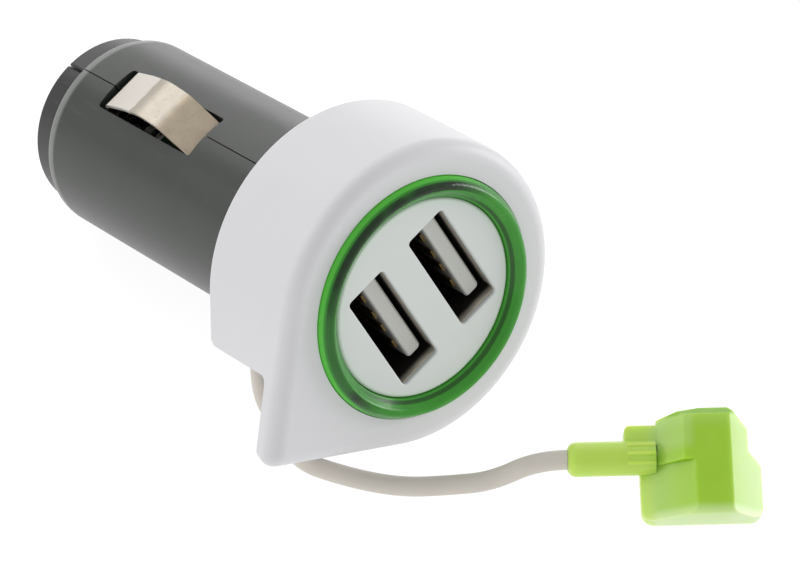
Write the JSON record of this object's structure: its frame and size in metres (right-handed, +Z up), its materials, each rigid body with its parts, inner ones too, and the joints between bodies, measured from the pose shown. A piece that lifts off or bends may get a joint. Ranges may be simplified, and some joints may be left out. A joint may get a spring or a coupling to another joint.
{
  "type": "car usb charger plug",
  "caption": "Socket charger with a teardrop head, a lit ring round the charging ports, sprung side contacts and a short charging lead on a reel.",
  "frame": {"origin": "middle of the charger's footprint, on the surface that it lies on, without the lead and its plug", "axes": "+Z up, +Y from the port face towards the barrel's end, +X to the right seen from the ports"},
  "size_m": [0.0425, 0.0893, 0.0338],
  "materials": {
    "white_shell": "satin moulded plastic",
    "green_ring": "tinted clear plastic",
    "plate_grey": "fine satin plastic",
    "barrel_grey": "satin moulded plastic",
    "contact_metal": "nickel-plated spring strip",
    "port_metal": "bright plated sheet",
    "gold_contact": "gold-plated strip",
    "port_insulator": "moulded insulator",
    "board_green": "coated circuit board",
    "lamp_white": "small lamps",
    "component_black": "moulded component",
    "can_metal": "drawn cans",
    "reel_white": "moulded reel",
    "lead_jacket": "soft matt jacket",
    "plug_green": "satin moulded plastic"
  },
  "bodies": {
    "charger": {"head_shell": "white_shell", "head_back": "white_shell", "light_ring": "green_ring", "port_plate": "plate_grey", "barrel_half_lower": "barrel_grey", "barrel_half_upper": "barrel_grey", "tip_spring": "contact_metal", "tip_terminal": "contact_metal", "reel_spring": "contact_metal", "usb_shell_tip_side": "port_metal", "usb_shell_far_side": "port_metal", "plug_shell": "port_metal", "usb_contacts_tip_side": "gold_contact", "usb_contacts_far_side": "gold_contact", "usb_tongue_tip_side": "port_insulator", "usb_tongue_far_side": "port_insulator", "plug_tongue": "port_insulator", "port_board": "board_green", "led_board": "board_green", "main_board": "board_green", "ring_leds": "lamp_white", "inductor": "component_black", "converter_chip": "component_black", "capacitors": "can_metal", "lead_eyelet": "reel_white", "charging_lead": "lead_jacket", "plug_body": "plug_green"},
    "tip": {"tip_contact": "contact_metal"},
    "upper_strip": {"side_contact_upper": "contact_metal"},
    "lower_strip": {"side_contact_lower": "contact_metal"},
    "reel": {"lead_reel": "reel_white", "lead_winding": "lead_jacket"}
  },
  "joints": [
    {"name": "tip_press", "type": "slide", "parent": "charger", "child": "tip", "axis": [0, -0.988, 0.1547], "range_m": [0, 0.0025], "stiffness_N_per_m": 900, "springref_m": -0.001, "deforming": ["tip_spring"]},
    {"name": "upper_contact_flex", "type": "hinge", "parent": "charger", "child": "upper_strip", "pos_m": [-0.00173, -0.00247, 0.02137], "axis": [-0.898, -0.0681, -0.4346], "range_deg": [0, 14], "stiffness_Nm_per_rad": 0.2},
    {"name": "lower_contact_flex", "type": "hinge", "parent": "charger", "child": "lower_strip", "pos_m": [0.00528, -0.00468, 0.00724], "axis": [0.898, 0.0681, 0.4346], "range_deg": [0, 14], "stiffness_Nm_per_rad": 0.2},
    {"name": "reel_turn", "type": "hinge", "parent": "charger", "child": "reel", "pos_m": [0.00177, -0.02066, 0.01698], "axis": [0, -0.988, 0.1547], "range_deg": [-720, 180], "deforming": ["reel_spring"]}
  ]
}
